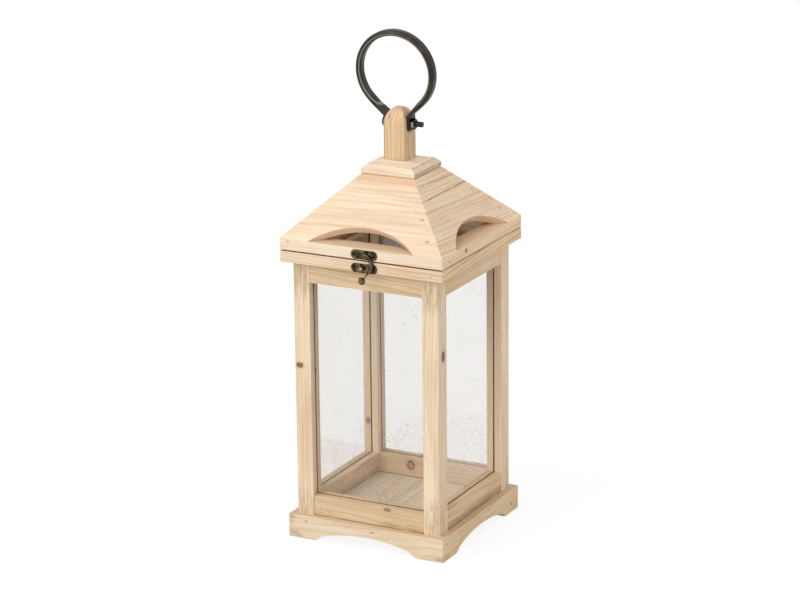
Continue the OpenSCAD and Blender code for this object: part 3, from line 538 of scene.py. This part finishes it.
# ---- Cap and finial -----------------------------------------------------------------
# A bevelled square of fir closes the roof, its sawn end grain to the right, and carries
# the finial, a redder post with its top rounded over from all four sides.
cap_fir = fir("fir_cap", "X", (30.0, 372.0), "#F3E1C8", "#D3B087", ring=2.2,
              ends=("#8E7458", 0.50))
finial_fir = fir(
    "fir_finial", "Z", (-120.0, 60.0), "#E8CBA5", "#B98A5B", ring=3.4, lean=(0.01, 0.0),
    wander=1.5, contrast=0.8,
    knots=[(-8.0, -13.0, 480.0, 1.0, 2.0, 5.0)], ends=("#9A8162", 0.30),
    # Painted shadow of the ring's tab down the right face, and painted shade where the finial
    # stands on the cap.
    soil_and_shade=[(13.0, 0.0, 455.0, 4.0, 20.0, 60.0), (0.0, 0.0, 429.0, 20.0, 20.0, 3.0)],
)
dress(["roof_cap"], cap_fir)
dress(["finial_post"], finial_fir)


# ---- Ring and its bolt --------------------------------------------------------------
# A carrying ring forged from flat-oval iron bar, blackened in oil and worn to a dull
# brown sheen, on a bolt through the finial with a nut.
def metal(name, base, worn, rough, wear_mm, depth=0.25, grit=0.3, crest_highlight=None, highlit_facing=None):
    """A dark finished metal, its finish worn thinner in patches of wear_mm. A painted highlight
    can run along a round edge, given by its middle's x and z and its radius, and another can lie
    on the faces turned the given way. Its grit is drawn about 0.4 mm across, coarser than real,
    so that it shows."""
    grit_scale, relief_m = 2400.0, 0.0004
    material = bpy.data.materials.new(name)
    material.use_nodes = True
    tree = material.node_tree
    tree.nodes.clear()
    metres = add(tree, "TexCoord").outputs["Object"]
    patches = {"Scale": mm_per_m / wear_mm, "Detail": 4.0, "Roughness": 0.6}
    patches = add(tree, "TexNoise", metres, inputs=patches)
    fine = add(tree, "TexNoise", metres, inputs={"Scale": grit_scale, "Detail": 2.0})
    wear = add(tree, "MapRange", patches, 0.42, 0.68, **smooth)
    layers = [(wear, worn)]
    # Painted highlight along a round edge.
    if crest_highlight:
        x, z, radius = crest_highlight
        flat = add(tree, "VectorMath", metres, (mm_per_m, 0.0, mm_per_m), operation="MULTIPLY")
        flat = add(tree, "VectorMath", flat, (x, 0.0, z), operation="DISTANCE").outputs["Value"]
        gap = add(tree, "Math", flat, radius, operation="SUBTRACT")
        gap = add(tree, "Math", gap, operation="ABSOLUTE")
        layers.append((add(tree, "MapRange", gap, 1.0, 0.3, 0.0, 0.75, **smooth), "#8F8B84"))
    # Painted highlight on the faces turned the given way.
    if highlit_facing:
        facing = add(tree, "TexCoord").outputs["Normal"]
        facing = add(tree, "VectorMath", facing, highlit_facing, operation="DOT_PRODUCT").outputs["Value"]
        layers.append((add(tree, "MapRange", facing, 0.80, 0.97, 0.0, 0.8, **smooth), "#A39C86"))
    shade = colour(base)
    for amount, tone in layers:
        shade = {6: shade, 7: colour(tone)}
        shade = add(tree, "Mix", amount, inputs=shade, data_type="RGBA").outputs[2]
    dull = add(tree, "Math", patches, 0.3, rough - 0.15, operation="MULTIPLY_ADD")
    relief = add(tree, "Math", fine, grit, patches, operation="MULTIPLY_ADD")
    bump = add(tree, "Bump", inputs={"Height": relief, "Strength": depth, "Distance": relief_m})
    surface = add(tree, "BsdfPrincipled", inputs={
        "Base Color": shade, "Metallic": 1.0, "Roughness": dull, "Normal": bump,
    })
    add(tree, "OutputMaterial", surface)
    return material


ring_low, ring_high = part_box("ring_handle")
# A painted highlight runs along the ring's bar at this radius from its middle.
top_to_middle_mm, highlight_radius_mm = 47.9, 43.1
crest_highlight = ((ring_low[0] + ring_high[0]) / 2 * mm_per_m,
         ring_high[2] * mm_per_m - top_to_middle_mm, highlight_radius_mm)
ring_iron = metal("forged_iron_blackened", "#36322C", "#47423A", 0.36, 26.0, depth=0.10, grit=0.1,
                  crest_highlight=crest_highlight)
dress(["ring_handle"], ring_iron)
bolt_iron = metal("steel_bolt_blackened", "#2A2724", "#4A453B", 0.30, 6.0, depth=0.10)
dress(["ring_bolt"], bolt_iron)
# Painted highlight on the nut's faces turned to the front.
nut_iron = metal("steel_nut_highlit", "#2A2724", "#4A453B", 0.28, 6.0, depth=0.10,
                 highlit_facing=(0.0, -1.0, 0.0))
dress(["ring_nut"], nut_iron)

# ---- Latch --------------------------------------------------------------------------
# A small horn latch of pressed and cast brass, chemically darkened to antique bronze,
# with black countersunk screws; the catch stud has kept more of its brass colour.
latch_bronze = metal("brass_antique_bronze", "#352F25", "#7C6E54", 0.34, 5.0)
dress(["latch_plate_upper", "latch_plate_lower", "latch_rivet", "latch_arm"], latch_bronze)
screw_bronze = metal("screws_blackened", "#1F1B17", "#4A4131", 0.32, 3.0)
dress(["latch_screws_upper", "latch_screws_lower"], screw_bronze)
stud_brass = metal("brass_aged_stud", "#86754F", "#B7A274", 0.30, 2.0)
dress(["latch_stud"], stud_brass)

# ---- Hinges -------------------------------------------------------------------------
# Two small butt hinges of the same darkened brass behind, screwed to the roof rim and
# the collar.
hinge_bronze = metal("brass_hinge_bronze", "#4A4234", "#75684F", 0.38, 4.0)
dress(["hinge_leaf_lower_left", "hinge_leaf_lower_right", "hinge_pins", "hinge_screws_lower",
       "hinge_leaf_upper_left", "hinge_leaf_upper_right", "hinge_screws_upper"], hinge_bronze)
